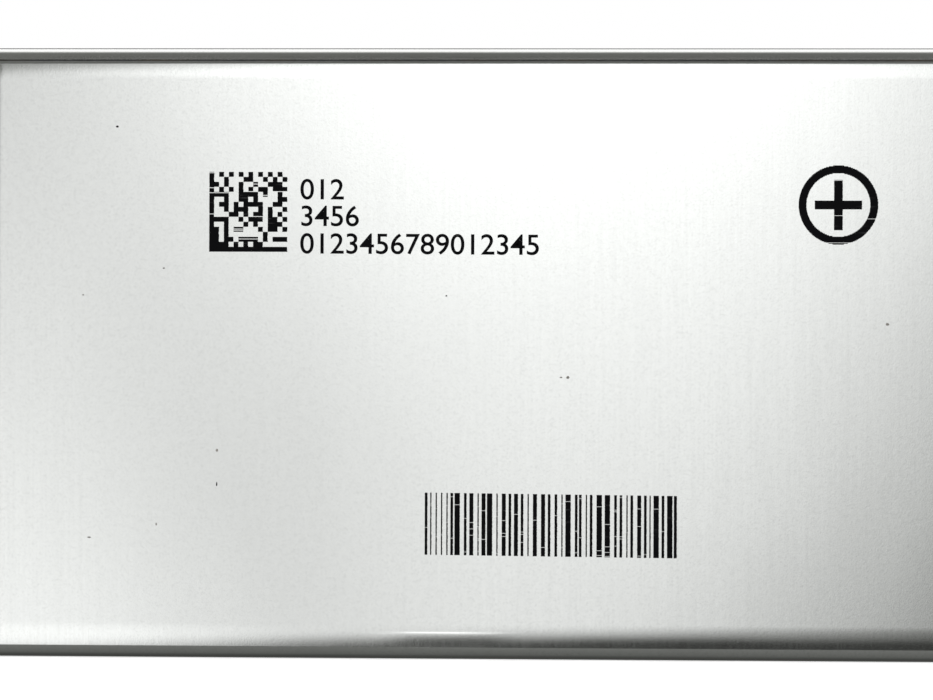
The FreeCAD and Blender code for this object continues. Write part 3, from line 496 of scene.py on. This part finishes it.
def make_plus(x, z, material):
    """A plus sign in a ring, printed row by row. x and z are its middle."""
    draw = random.Random(3)
    outer, stroke = 5.84 * MM, 1.16 * MM
    reach_x, reach_z = 3.48 * MM, 3.72 * MM
    half_flat, half_upright = 0.69 * MM, 0.63 * MM
    step = 0.04 * MM  # how finely the print head starts and stops
    rows, columns = round(2 * outer / PRINT_ROW), round(2 * outer / step)
    strips = []
    for row in range(rows):
        low = z - outer + row * PRINT_ROW
        above = low + PRINT_ROW / 2 - z
        dark = []
        for column in range(columns):
            aside = (column + 0.5) * step - outer
            flat = abs(aside) <= reach_x and abs(above) <= half_flat
            upright = abs(aside) <= half_upright and abs(above) <= reach_z
            ring = outer - stroke <= math.hypot(aside, above) <= outer
            dark.append(flat or upright or ring)
        for start, end in dark_runs(dark):
            left, right = x - outer + start * step, x - outer + end * step
            strips.append(printed_strip(left, right, low, low + PRINT_ROW, draw, 0.03 * MM))
    return ink_strips("print_plus", strips, material)


def make_specks(name, specks, material):
    """Small flat specks. Each is x, z, half width and half height in millimetres."""
    draw = random.Random(5)
    strips = []
    rows = 5
    for x, z, half_width, half_height in specks:
        for row in range(rows):
            above = (row + 0.5) / rows * 2 - 1
            reach = half_width * math.sqrt(1 - above * above) * draw.uniform(0.8, 1.15)
            middle = x + draw.uniform(-0.1, 0.1) * half_width
            low = z + (above - 1 / rows) * half_height
            sides = (middle - reach, middle + reach, low, low + 2 / rows * half_height)
            strips.append([value * MM for value in sides])
    return ink_strips(name, strips, material)


def make_line(name, text, low_x, base_z, cap_height, fall, material):
    """A line of plain counting digits on the front face. fall is how steeply it sinks."""
    curve = bpy.data.curves.new(name, "FONT")
    curve.body = text
    curve.size = cap_height / CAP_SHARE
    curve.offset = DIGIT_WEIGHT
    source = bpy.data.objects.new(name + "_source", curve)
    bpy.context.scene.collection.objects.link(source)
    bpy.context.view_layer.update()
    flat = bpy.data.meshes.new_from_object(source)
    bpy.data.objects.remove(source)
    top = []
    for vertex in flat.vertices:
        along = vertex.co.x * DIGIT_WIDTH
        top.append((low_x + along, base_z + vertex.co.y - fall * along))
    count = len(top)
    points = [(x, face_y(x, z) - INK_HEIGHT, z) for x, z in top]
    points += [(x, face_y(x, z) + INK_HEIGHT, z) for x, z in top]
    faces = [tuple(p.vertices) for p in flat.polygons]
    edges = [pair for face in faces for pair in zip(face, face[1:] + face[:1])]
    shared = set(edges)
    sides = [
        (end, start, start + count, end + count)
        for start, end in edges
        if (end, start) not in shared
    ]
    back = [tuple(count + i for i in reversed(face)) for face in faces]
    return add_piece(name, points, faces + sides + back, material, smooth=False)


# ---------------------------------------------------------------- materials

INK_COLOR = (0.003, 0.003, 0.0035)
CAN_COLOR = (0.885, 0.902, 0.883)
UPRIGHT = (2600, 2600, 60)  # grain that runs up the can
LENGTHWAYS = (70, 2600, 2600)  # grain that runs along the cell
ACROSS = (2600, 70, 2600)  # grain that runs from face to face
GRAIN_DEPTH = 0.002 * MM


class Tree:
    """Short calls that add nodes to a shader tree. A value is a number or a socket."""

    def __init__(self, tree, coordinates):
        self.tree = tree
        self.where = self.node("TexCoord").outputs[coordinates]

    def node(self, kind):
        return self.tree.nodes.new("ShaderNode" + kind)

    def feed(self, socket, value):
        if isinstance(value, bpy.types.NodeSocket):
            self.tree.links.new(value, socket)
        else:
            socket.default_value = value

    def math(self, operation, first, second=0.0, third=0.0):
        node = self.node("Math")
        node.operation = operation
        for socket, value in zip(node.inputs, (first, second, third)):
            self.feed(socket, value)
        return node.outputs[0]

    def span(self, value, low, high, to_low=0.0, to_high=1.0):
        """value from low..high to to_low..to_high, held at the ends."""
        node = self.node("MapRange")
        for socket, number in zip(node.inputs, (value, low, high, to_low, to_high)):
            self.feed(socket, number)
        return node.outputs[0]

    def soft_step(self, value, low, high):
        """0 up to low and 1 from high on, easing in and out between them."""
        step = self.span(value, low, high)
        step.node.interpolation_type = "SMOOTHSTEP"
        return step

    def between(self, share, first, second):
        """A number between two."""
        node = self.node("Mix")
        for socket, value in zip(node.inputs, (share, None, first, second)):
            if value is not None:
                self.feed(socket, value)
        return node.outputs[0]

    def blend(self, share, first, second):
        """A colour between two."""
        node = self.node("Mix")
        node.data_type = "RGBA"
        self.feed(node.inputs[0], share)
        for socket, color in ((node.inputs[6], first), (node.inputs[7], second)):
            self.feed(socket, color if isinstance(color, bpy.types.NodeSocket) else (*color, 1))
        return node.outputs[2]


class Shader(Tree):
    """A material with one Principled surface."""

    def __init__(self, name, color, roughness, metallic=0.0, **constants):
        self.material = bpy.data.materials.new(name)
        self.material.use_nodes = True
        super().__init__(self.material.node_tree, "Object")
        self.surface = self.tree.nodes["Principled BSDF"]
        self.surface.inputs["Base Color"].default_value = (*color, 1)
        self.surface.inputs["Roughness"].default_value = roughness
        self.surface.inputs["Metallic"].default_value = metallic
        for socket, value in constants.items():
            self.surface.inputs[socket.replace("_", " ")].default_value = value

    def stretched(self, scale, turn):
        """Object coordinates, turned in the XZ plane, then scaled. Larger makes finer."""
        node = self.node("Mapping")
        node.vector_type = "TEXTURE"
        self.feed(node.inputs["Vector"], self.where)
        node.inputs["Rotation"].default_value = (0, math.radians(turn), 0)
        node.inputs["Scale"].default_value = [1 / s for s in scale]
        return node.outputs[0]

    def noise(self, scale, detail=2.0, roughness=0.5, turn=0):
        """Soft noise. scale is how many features there are per metre along each axis."""
        node = self.node("TexNoise")
        self.feed(node.inputs["Vector"], self.stretched(scale, turn))
        node.inputs["Scale"].default_value = 1.0
        node.inputs["Detail"].default_value = detail
        node.inputs["Roughness"].default_value = roughness
        return node.outputs[0]

    def marks(self, length, width, share, turn=0):
        """1 on scattered marks and 0 elsewhere. share is how many of the cells hold one."""
        node = self.node("TexVoronoi")
        self.feed(node.inputs["Vector"], self.stretched((1 / width, 1 / width, 1 / length), turn))
        node.inputs["Scale"].default_value = 1.0
        near = self.span(node.outputs["Distance"], 0.3, 0.18)
        chosen = self.math("LESS_THAN", node.outputs["Color"], share)
        return self.math("MULTIPLY", near, chosen)

    def color(self, value):
        self.feed(self.surface.inputs["Base Color"], value)

    def roughness(self, value):
        self.feed(self.surface.inputs["Roughness"], value)

    def bump(self, height, depth):
        """Relief. depth is in metres, for a height from 0 to 1."""
        node = self.node("Bump")
        node.inputs["Distance"].default_value = depth
        normal = self.surface.inputs["Normal"]
        if normal.is_linked:
            self.feed(node.inputs["Normal"], normal.links[0].from_socket)
        self.feed(node.inputs["Height"], height)
        self.feed(normal, node.outputs[0])


def shade(color, amount):
    return tuple(c * amount for c in color)


def sheet_metal(name, color, roughness, grain, scratched=1.0):
    """Bare sheet with a fine grain, soft cloudy tone, pits and hairline scratches.

    grain is how many lines there are per metre along each axis.
    """
    metal = Shader(name, color, roughness, 1.0)
    lines = metal.noise(grain, 3.0, 0.6)
    cloud = metal.noise((26, 26, 15), 3.0)
    mottle = metal.noise((900, 900, 900), 2.0)
    speckle = metal.noise((2600, 2600, 2600), 1.0)
    pits = metal.marks(1.1 * MM, 1.1 * MM, 0.012)
    scratch = metal.marks(16 * MM, 0.22 * MM, 0.0016 * scratched, 33)
    for share, turn in ((0.0012, -52), (0.0009, 81)):
        more = metal.marks(11 * MM, 0.2 * MM, share * scratched, turn)
        scratch = metal.math("MAXIMUM", scratch, more)
    toned = metal.blend(metal.span(cloud, 0.35, 0.65), shade(color, 0.965), color)
    lined = metal.blend(metal.span(lines, 0.35, 0.7, 0, 0.16), toned, shade(color, 0.9))
    grained = metal.blend(metal.span(mottle, 0.35, 0.7, 0, 0.2), lined, shade(color, 0.86))
    speckled = metal.blend(metal.span(speckle, 0.5, 0.8, 0, 0.6), grained, shade(color, 0.86))
    marked = metal.blend(metal.math("MULTIPLY", scratch, 0.5), speckled, shade(color, 0.7))
    metal.color(metal.blend(metal.math("MULTIPLY", pits, 0.75), marked, (0.1, 0.095, 0.09)))
    base = metal.span(cloud, 0.3, 0.7, roughness * 0.93, roughness * 1.08)
    varied = metal.math("ADD", base, metal.span(lines, 0.3, 0.7, 0, 0.03))
    metal.roughness(metal.math("ADD", varied, metal.math("MULTIPLY", pits, 0.4)))
    worn = metal.math("ADD", pits, metal.math("MULTIPLY", scratch, 0.6))
    metal.bump(metal.math("SUBTRACT", lines, worn), 0.0003 * MM)
    metal.bump(metal.noise((4600, 4600, 4600), 1.0), GRAIN_DEPTH)
    return metal.material


def frosted_metal(name, color, roughness):
    """Melted and frozen metal of a weld, with a faint heat tint."""
    weld = Shader(name, color, roughness, 1.0)
    cloud = weld.noise((700, 700, 700), 3.0)
    tint = weld.noise((160, 160, 160), 1.0)
    toned = weld.blend(weld.span(cloud, 0.35, 0.65), shade(color, 0.6), color)
    warm = tuple(c * share for c, share in zip(color, (1.1, 0.95, 0.75)))
    weld.color(weld.blend(weld.span(tint, 0.45, 0.7, 0, 0.6), toned, warm))
    weld.roughness(weld.span(cloud, 0.3, 0.7, roughness * 0.8, roughness * 1.3))
    weld.bump(cloud, 0.01 * MM)
    return weld.material


def copper(name):
    """Copper with darker, browner patches where it has tarnished."""
    metal = Shader(name, (0.85, 0.5, 0.36), 0.28, 1.0)
    patches = metal.noise((190, 190, 190), 4.0, 0.6)
    lines = metal.noise((3000, 3000, 200), 2.0)
    toned = metal.blend(metal.span(patches, 0.45, 0.7), (0.85, 0.5, 0.36), (0.46, 0.2, 0.11))
    metal.color(metal.blend(metal.span(lines, 0.4, 0.7, 0, 0.3), toned, (0.6, 0.3, 0.2)))
    metal.roughness(metal.span(patches, 0.3, 0.7, 0.22, 0.42))
    metal.bump(lines, 0.001 * MM)
    return metal.material


def plastic(name, color, roughness, grain, depth, mottle=0.12, **constants):
    """Moulded plastic or rubber: a fine mould texture, faint flow marks and scuffs.

    grain is the size of the texture, and mottle how far the tone wanders.
    """
    shell = Shader(name, color, roughness, **constants)
    texture = shell.noise((1 / grain,) * 3, 2.0, 0.6)
    flow = shell.noise((45, 140, 45), 3.0)
    scuffs = shell.marks(5 * MM, 0.3 * MM, 0.01, 40)
    toned = shell.blend(shell.span(flow, 0.35, 0.65), shade(color, 1 - mottle), color)
    lighter = tuple(c + 0.12 * (1 - c) for c in color)
    shell.color(shell.blend(shell.math("MULTIPLY", scuffs, 0.6), toned, lighter))
    base = shell.span(texture, 0.3, 0.7, roughness * 0.85, roughness * 1.15)
    shell.roughness(shell.math("ADD", base, shell.math("MULTIPLY", scuffs, 0.12)))
    shell.bump(texture, depth)
    return shell.material


def film(name, color, wrinkle, **constants):
    """Thin glossy film with soft wrinkles, a few long ones and fine ones between them."""
    sheet = Shader(name, color, 0.2, **constants)
    folds = sheet.noise((70, 200, 320), 3.0, 0.55, 18)
    fine = sheet.noise((900, 900, 900), 2.0)
    sheet.color(sheet.blend(sheet.span(folds, 0.35, 0.7), color, shade(color, 0.8)))
    sheet.roughness(sheet.span(fine, 0.3, 0.7, 0.14, 0.27))
    sheet.bump(folds, wrinkle)
    sheet.bump(fine, wrinkle * 0.05)
    return sheet.material


def coating(name, color):
    """Rolled electrode coating: fine particles and faint lines from the rollers."""
    layer = Shader(name, color, 0.75)
    grains = layer.noise((14000, 14000, 14000), 2.0)
    lines = layer.noise((30, 900, 900), 2.0)
    toned = layer.blend(layer.span(grains, 0.35, 0.65), shade(color, 0.6), shade(color, 1.3))
    layer.color(layer.blend(layer.span(lines, 0.4, 0.7, 0, 0.35), toned, shade(color, 0.7)))
    layer.roughness(layer.span(grains, 0.3, 0.7, 0.6, 0.85))
    layer.bump(grains, 0.003 * MM)
    return layer.material


def printed_ink():
    """Black ink with thin pale streaks across it, where the print head skipped."""
    ink = Shader("printed_ink", INK_COLOR, 0.55, Specular_IOR_Level=0.02)
    streaks = ink.noise((160, 160, 4200), 2.0, 0.6)
    ink.color(ink.blend(ink.span(streaks, 0.66, 0.74, 0, 0.7), INK_COLOR, (0.06, 0.06, 0.062)))
    ink.roughness(ink.span(streaks, 0.3, 0.7, 0.48, 0.65))
    ink.bump(ink.noise((4000, 4000, 4000), 2.0), 0.002 * MM)
    return ink.material


def make_materials():
    """One material for each of the record's slots."""
    lid = sheet_metal("lid_metal", (0.87, 0.875, 0.855), 0.17, LENGTHWAYS)
    terminal = sheet_metal("terminal_metal", (0.9, 0.9, 0.895), 0.26, ACROSS, 1.5)
    collector = sheet_metal("collector_metal", (0.85, 0.85, 0.85), 0.3, UPRIGHT)
    return {
        "can_aluminium": sheet_metal("can_metal", CAN_COLOR, 0.12, UPRIGHT),
        "lid_aluminium": lid,
        "vent_aluminium": sheet_metal("vent_metal", (0.9, 0.9, 0.9), 0.3, ACROSS),
        "weld_aluminium": sheet_metal("cap_metal", (0.84, 0.84, 0.83), 0.3, LENGTHWAYS, 2),
        "terminal_aluminium": terminal,
        "rivet_copper": copper("rivet_copper"),
        "collector_copper": copper("collector_copper"),
        "collector_aluminium": collector,
        "frame_plastic": plastic("frame_plastic", (0.02, 0.02, 0.022), 0.42, 0.12 * MM, 0.006 * MM),
        "insulator_plastic": plastic(
            "insulator_plastic", (0.82, 0.82, 0.79), 0.4, 0.3 * MM, 0.004 * MM, 0.06
        ),
        "gasket_rubber": plastic("gasket_rubber", (0.04, 0.04, 0.04), 0.6, 0.08 * MM, 0.004 * MM),
        "plug_rubber": plastic("plug_rubber", (0.2, 0.07, 0.04), 0.6, 0.08 * MM, 0.004 * MM),
        "vent_film": film("vent_film", (0.08, 0.24, 0.5), 0.02 * MM, Coat_Weight=0.4),
        "tape_film": film("tape_film", (0.06, 0.3, 0.14), 0.01 * MM),
        "bag_film": film("bag_film", (0.05, 0.1, 0.24), 0.05 * MM),
        "separator_film": film("separator_film", (0.85, 0.85, 0.84), 0.02 * MM),
        "cathode_coating": coating("cathode_coating", (0.035, 0.035, 0.04)),
        "anode_coating": coating("anode_coating", (0.07, 0.07, 0.07)),
        "print_ink": printed_ink(),
    }


# ---------------------------------------------------------------- the cell


def build_cell():
    materials = make_materials()
    for sub_part in frame["record"]["subparts"]:
        node = frame["nodes"][sub_part["node"]]
        node.data.materials.clear()
        node.data.materials.append(materials[sub_part["material_slot"]])
    make_can(materials["can_aluminium"])
    make_lid_rim(materials["lid_aluminium"])
    make_lid_tray(materials["lid_aluminium"])
    make_welds()
    make_print(materials["print_ink"])


def make_welds():
    # The lid's seam weld is coloured near black: partly a dull weld, and partly painted shade of
    # the shadowed groove along the seam.
    dark = frosted_metal("seam_weld_painted_shade", (0.12, 0.12, 0.12), 0.45)
    bright = frosted_metal("bright_weld_metal", (0.7, 0.7, 0.69), 0.35)
    stations = rim_stations(step=0.16 * MM, inset=0.054 * MM, drop=0.05 * MM)
    half_width, height, pitch = 0.26 * MM, 0.09 * MM, 0.4 * MM
    make_bead("lid_weld", stations, half_width, height, pitch, dark)
    add_ring_weld("fill_cap", 0.02 * MM, bright)
    add_ring_weld("positive_rivet", 0.05 * MM, bright)
    add_ring_weld("negative_rivet", 0.05 * MM, bright)


def make_print(ink):
    """The front face's marks, all made up, and the specks on it."""
    code_x, code_z = -38.25 * MM, 60.45 * MM
    make_square_code(code_x, code_z, width=11.6 * MM, height=11.85 * MM, material=ink)
    lines_x, cap_height = -24.82 * MM, 3.02 * MM
    lines = (("012", 68.28 * MM), ("3456", 64.33 * MM), ("0123456789012345", 60.25 * MM))
    for number, (text, base_z) in enumerate(lines, 1):
        name = f"print_line_{number}"
        make_line(name, text, lines_x, base_z, cap_height, fall=0.004, material=ink)
    make_plus(x=54.75 * MM, z=67.55 * MM, material=ink)
    bars_x, bars_z = -6.1 * MM, 15.68 * MM
    make_bars(bars_x, bars_z, width=37.25 * MM, height=9.16 * MM, fall=0.009, material=ink)
    make_specks("ink_specks", INK_SPECKS, ink)
    # Grey specks: a flat grey colour, which at 62, 50 and at 14 to 15, 42 is painted shade of tiny
    # dents.
    grey_speck = plastic("grey_speck", (0.2, 0.19, 0.17), 0.6, 0.1 * MM, 0.01 * MM, 0.4)
    make_specks("grey_specks", GREY_SPECKS, grey_speck)


# ---------------------------------------------------------------- studio

# Soft light panels in front of the face. Each has a brightness, then its middle, half size and
# softness of edge, each (across, up), then how far its middle climbs for each 1 across. Across is
# metres aside for each metre ahead, and up is degrees above the horizon.
PANELS = (
    (1.35, (-0.03, 5), (0.05, 20), (0.4, 7), 70),  # a pale wall whose edge climbs to the right
    (1.0, (0.0, 15), (0.15, 12), (0.1, 8), -15),  # a softbox above the camera
    (0.8, (-0.2, -18), (0.08, 20), (0.05, 12), -90),  # a lamp at the lower left
    (0.4, (0.05, -8), (0.01, 8), (0.2, 3), 0),  # the lit edge of the table
)
DIMMEST, BRIGHTEST = 0.03, 1.5  # of all that the panels give together
PANELS_END = 24, 29  # degrees up or down over which they give way to the light all round

# Brightness all the way round, over the cell and under it: 0 is in front and 180 behind.
ROUND_LIGHT = (
    (-180, 0.8), (-157, 0.6), (-148, 0.06), (-110, 0.06), (-85, 0.12), (-35, 0.17),
    (28, 0.07), (42, 0.14), (75, 0.15), (90, 0.45), (102, 1.25), (140, 1.25),
    (147, 0.1), (172, 0.1), (180, 0.8),
)
# At the sides, by how steeply the direction rises, from -1 to 1.
SIDE_LIGHT = ((-1, 0.25), (-0.3, 0.45), (0, 0.85), (0.35, 0.95), (0.6, 0.35), (1, 0.5))
SIDE_START = 0.2, 0.5  # how far aside a direction points where the side light takes over
SHADOW_TINT = (0.985, 1.0, 0.95)  # the dark parts of the studio are faintly green
TINT_FADE = 0.05, 0.6  # brightness over which the tint fades out
JUST_OVER_ONE = 1.001  # so that the root of this less x squared stays clear of zero

SOFTBOX_WATTS, SOFTBOX_SIZE, SOFTBOX_HEIGHT = 45, 3.0, 1.5


def light_ramp(tree, value, low, high, stops):
    """Brightness along a value from low to high. stops are pairs of value and brightness."""
    node = tree.node("ValToRGB")
    tree.feed(node.inputs[0], tree.span(value, low, high))
    elements = node.color_ramp.elements
    while len(elements) < len(stops):
        elements.new(1.0)
    for element, (place, brightness) in zip(elements, stops):
        element.position = (place - low) / (high - low)
        element.color = (brightness, brightness, brightness, 1)
    return node.outputs[0]


def panel_light(tree, across, angle, panel):
    """How much light one panel sends from a direction."""
    brightness, middle, half_size, softness, climb = panel
    aside = tree.math("SUBTRACT", across, middle[0])
    centre = tree.math("MULTIPLY_ADD", aside, climb, middle[1])
    above = tree.math("SUBTRACT", angle, centre)
    shares = []
    for away, reach, soft in zip((aside, above), half_size, softness):
        distance = tree.math("ABSOLUTE", away)
        shares.append(tree.soft_step(distance, reach + soft, reach - soft))
    return tree.math("MULTIPLY", tree.math("MULTIPLY", *shares), brightness)


def build_light():
    """A soft studio round the cell, white behind it as the camera sees it."""
    world = bpy.data.worlds.new("studio")
    world.use_nodes = True
    tree = Tree(world.node_tree, "Generated")
    split = tree.node("SeparateXYZ")
    tree.feed(split.inputs[0], tree.where)
    x, y, z = split.outputs
    ahead = tree.math("MULTIPLY", y, -1.0)
    angle = tree.math("DEGREES", tree.math("ARCTAN2", z, ahead))
    squared = tree.math("MULTIPLY", x, x)
    upright = tree.math("SQRT", tree.math("SUBTRACT", JUST_OVER_ONE, squared))
    across = tree.math("DIVIDE", x, upright)
    light = DIMMEST
    for panel in PANELS:
        light = tree.math("ADD", panel_light(tree, across, angle, panel), light)
    light = tree.math("MINIMUM", light, BRIGHTEST)
    steepness = tree.math("ABSOLUTE", angle)
    around = light_ramp(tree, angle, -180, 180, ROUND_LIGHT)
    light = tree.between(tree.span(steepness, *PANELS_END), light, around)
    side = light_ramp(tree, z, -1, 1, SIDE_LIGHT)
    aside = tree.math("ABSOLUTE", x)
    strength = tree.between(tree.span(aside, *SIDE_START), light, side)
    seen = tree.node("LightPath").outputs["Is Camera Ray"]
    background = world.node_tree.nodes["Background"]
    tree.feed(background.inputs["Strength"], tree.between(seen, strength, 1.0))
    pale = tree.math("MAXIMUM", tree.span(strength, *TINT_FADE), seen)
    tree.feed(background.inputs["Color"], tree.blend(pale, SHADOW_TINT, (1.0, 1.0, 1.0)))
    bpy.context.scene.world = world


def build_softbox():
    """A wide lamp overhead, seen only in the dull surfaces."""
    lamp = bpy.data.lights.new("overhead_softbox", "AREA")
    lamp.energy = SOFTBOX_WATTS
    lamp.size = SOFTBOX_SIZE
    softbox = bpy.data.objects.new("overhead_softbox", lamp)
    softbox.location = (0, 0, SOFTBOX_HEIGHT)
    softbox.visible_camera = False
    softbox.visible_glossy = False
    bpy.context.scene.collection.objects.link(softbox)


def build_floor():
    """A pale floor, lit from below as a light table is, so that it stays white."""
    reach = 4.0
    mesh = bpy.data.meshes.new("floor")
    z = -0.02 * MM  # a hair below the cell's underside
    corners = [(-reach, -reach, z), (reach, -reach, z), (reach, reach, z), (-reach, reach, z)]
    mesh.from_pydata(corners, [], [(0, 1, 2, 3)])
    floor = bpy.data.objects.new("floor", mesh)
    bpy.context.scene.collection.objects.link(floor)
    glow = {"Emission_Color": (1, 1, 1, 1), "Emission_Strength": 0.6}
    mesh.materials.append(Shader("pale_floor", (0.9, 0.9, 0.9), 0.7, **glow).material)
    floor.visible_glossy = False


def build_camera():
    """A camera straight in front, turned a little, which crops both ends of the cell."""
    distance = 450 * MM
    seen_width = 138 * MM
    seen_middle = 46 * MM  # above the underside
    yaw, roll = math.radians(1.9), math.radians(-0.2)
    data = bpy.data.cameras.new("camera")
    data.sensor_width = 36
    data.lens = data.sensor_width * distance / seen_width
    data.clip_start, data.clip_end = 0.01, 20
    camera = bpy.data.objects.new("camera", data)
    target = Vector((0, can_low.y, seen_middle))
    camera.location = target + Vector((math.sin(yaw), -math.cos(yaw), 0)) * distance
    camera.rotation_euler = (math.pi / 2, roll, yaw)
    bpy.context.scene.collection.objects.link(camera)
    bpy.context.scene.camera = camera


build_cell()
build_light()
build_softbox()
build_floor()
build_camera()
bpy.context.scene.view_settings.view_transform = "Standard"
